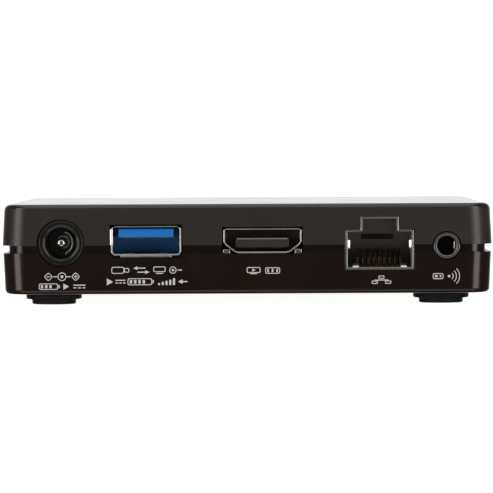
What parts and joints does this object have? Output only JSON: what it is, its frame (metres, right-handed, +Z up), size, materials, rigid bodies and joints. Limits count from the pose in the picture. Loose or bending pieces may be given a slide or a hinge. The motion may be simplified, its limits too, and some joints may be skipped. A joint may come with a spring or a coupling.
{
  "type": "streaming media player",
  "caption": "Small square two-shell streaming box with a shadow groove round its middle, rubber feet and a row of sockets in the rear face.",
  "frame": {"origin": "middle of the footprint, on the table under the feet", "axes": "+Z up; the rear face with the sockets looks along -Y; +X is to the right when looking at the sockets"},
  "size_m": [0.092, 0.092, 0.0189],
  "materials": {
    "satin_black_abs": "fine moulded texture, dark grey-black",
    "gloss_black_abs": "smooth moulded, nearly black",
    "black_rubber": "moulded, matt",
    "black_zinc_steel": "black zinc plated",
    "zinc_steel": "zinc plated",
    "green_solder_mask": "solder mask over glass-epoxy laminate",
    "chip_epoxy": "transfer-moulded epoxy",
    "ferrite": "pressed powder",
    "bare_aluminium": "drawn can",
    "silicone_pad": "soft silicone sheet",
    "anodised_aluminium": "extruded and clear anodised",
    "white_nylon": "moulded",
    "copper_flex": "polyimide film over copper",
    "lead_jacket": "extruded jacket",
    "clear_acrylic": "moulded and polished",
    "black_nylon": "moulded",
    "blue_nylon": "moulded, mid blue",
    "nickel_plated_steel": "stamped and nickel plated",
    "nickel_plated_brass": "turned and nickel plated",
    "gold_plated_bronze": "stamped and flash gold plated",
    "grey_plated_ring": "turned, dull plated"
  },
  "bodies": {
    "case": {"upper_shell": "satin_black_abs", "lower_shell": "gloss_black_abs", "foot_rear_left": "black_rubber", "foot_rear_right": "black_rubber", "foot_front_left": "black_rubber", "foot_front_right": "black_rubber", "case_screws": "black_zinc_steel", "main_board": "green_solder_mask", "board_screws": "zinc_steel", "soc_chip": "chip_epoxy", "thermal_pad": "silicone_pad", "heat_sink": "anodised_aluminium", "heat_sink_pins": "white_nylon", "memory_chips": "chip_epoxy", "storage_chip": "chip_epoxy", "wifi_module": "nickel_plated_steel", "antenna_left": "copper_flex", "antenna_right": "copper_flex", "antenna_lead_left": "lead_jacket", "antenna_lead_right": "lead_jacket", "network_transformer": "chip_epoxy", "power_inductors": "ferrite", "can_capacitors": "bare_aluminium", "power_chips": "chip_epoxy", "clock_crystal": "nickel_plated_steel", "status_led": "white_nylon", "light_pipe": "clear_acrylic", "reset_switch_body": "nickel_plated_steel", "dc_jack_housing": "black_nylon", "dc_jack_pin": "nickel_plated_brass", "dc_jack_spring": "nickel_plated_brass", "usb_shell": "nickel_plated_steel", "usb_insulator": "blue_nylon", "usb_contacts": "gold_plated_bronze", "video_port_shell": "nickel_plated_steel", "video_port_insulator": "black_nylon", "video_port_contacts": "gold_plated_bronze", "lan_port_shield": "nickel_plated_steel", "lan_port_housing": "black_nylon", "lan_port_contacts": "gold_plated_bronze", "ir_jack_housing": "black_nylon", "ir_jack_ring": "grey_plated_ring", "ir_jack_contacts": "gold_plated_bronze"},
    "reset_button": {"reset_button": "black_nylon"}
  },
  "joints": [
    {"name": "reset_press", "type": "slide", "parent": "case", "child": "reset_button", "axis": [0, 0, 1], "range_m": [0, 0.00025], "stiffness_N_per_m": 6400, "springref_m": -0.00005}
  ]
}
